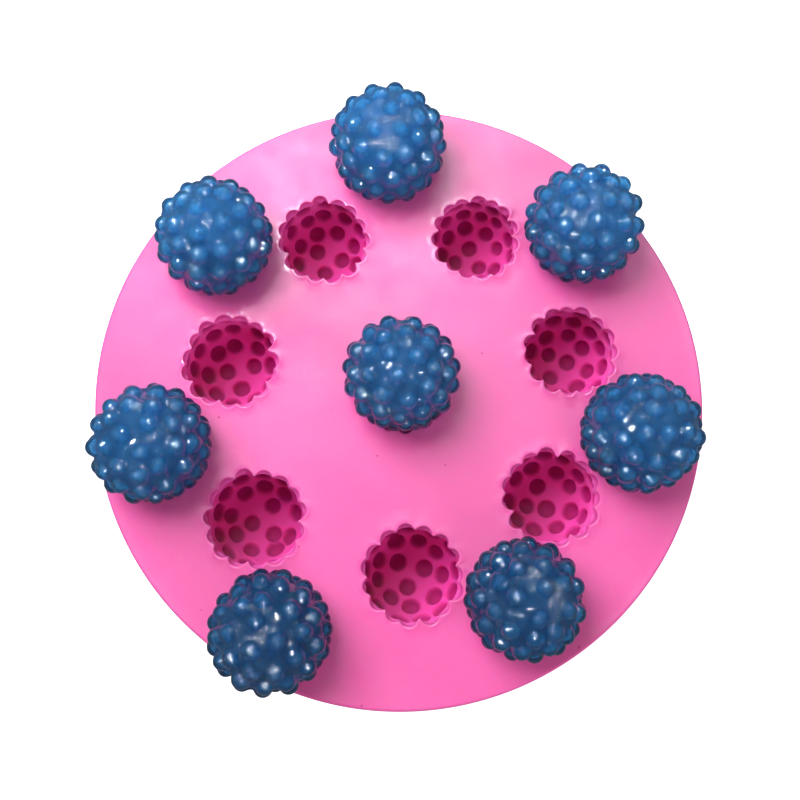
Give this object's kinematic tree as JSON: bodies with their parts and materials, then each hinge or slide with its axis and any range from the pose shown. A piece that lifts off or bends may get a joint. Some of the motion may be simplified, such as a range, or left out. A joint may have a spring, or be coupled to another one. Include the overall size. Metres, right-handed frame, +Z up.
{
  "type": "berry casting mould",
  "caption": "Round silicone mould with berry-shaped cavities in its top face, and the loose translucent berries cast in it lying dome-up on that face.",
  "frame": {"origin": "centre of the mould's round underside, which rests on a table", "axes": "+Z up through the mould's thickness, towards the cavities; +Y towards the top of the view from above; +X to the right"},
  "size_m": [0.08, 0.0809, 0.0277],
  "materials": {
    "pink_silicone": "satin",
    "blue_gel": "gloss"
  },
  "bodies": {
    "mould": {"mould": "pink_silicone"},
    "berry_centre": {"berry_centre": "blue_gel"},
    "berry_top": {"berry_top": "blue_gel"},
    "berry_top_right": {"berry_top_right": "blue_gel"},
    "berry_right": {"berry_right": "blue_gel"},
    "berry_bottom_right": {"berry_bottom_right": "blue_gel"},
    "berry_bottom_left": {"berry_bottom_left": "blue_gel"},
    "berry_left": {"berry_left": "blue_gel"},
    "berry_top_left": {"berry_top_left": "blue_gel"}
  },
  "joints": [
    {"name": "berry_centre_lift", "type": "slide", "parent": "mould", "child": "berry_centre", "axis": [0, 0, 1], "range_m": [0, 0.025]},
    {"name": "berry_top_lift", "type": "slide", "parent": "mould", "child": "berry_top", "axis": [0, 0, 1], "range_m": [0, 0.025]},
    {"name": "berry_top_right_lift", "type": "slide", "parent": "mould", "child": "berry_top_right", "axis": [0, 0, 1], "range_m": [0, 0.025]},
    {"name": "berry_right_lift", "type": "slide", "parent": "mould", "child": "berry_right", "axis": [0, 0, 1], "range_m": [0, 0.025]},
    {"name": "berry_bottom_right_lift", "type": "slide", "parent": "mould", "child": "berry_bottom_right", "axis": [0, 0, 1], "range_m": [0, 0.025]},
    {"name": "berry_bottom_left_lift", "type": "slide", "parent": "mould", "child": "berry_bottom_left", "axis": [0, 0, 1], "range_m": [0, 0.025]},
    {"name": "berry_left_lift", "type": "slide", "parent": "mould", "child": "berry_left", "axis": [0, 0, 1], "range_m": [0, 0.025]},
    {"name": "berry_top_left_lift", "type": "slide", "parent": "mould", "child": "berry_top_left", "axis": [0, 0, 1], "range_m": [0, 0.025]}
  ]
}
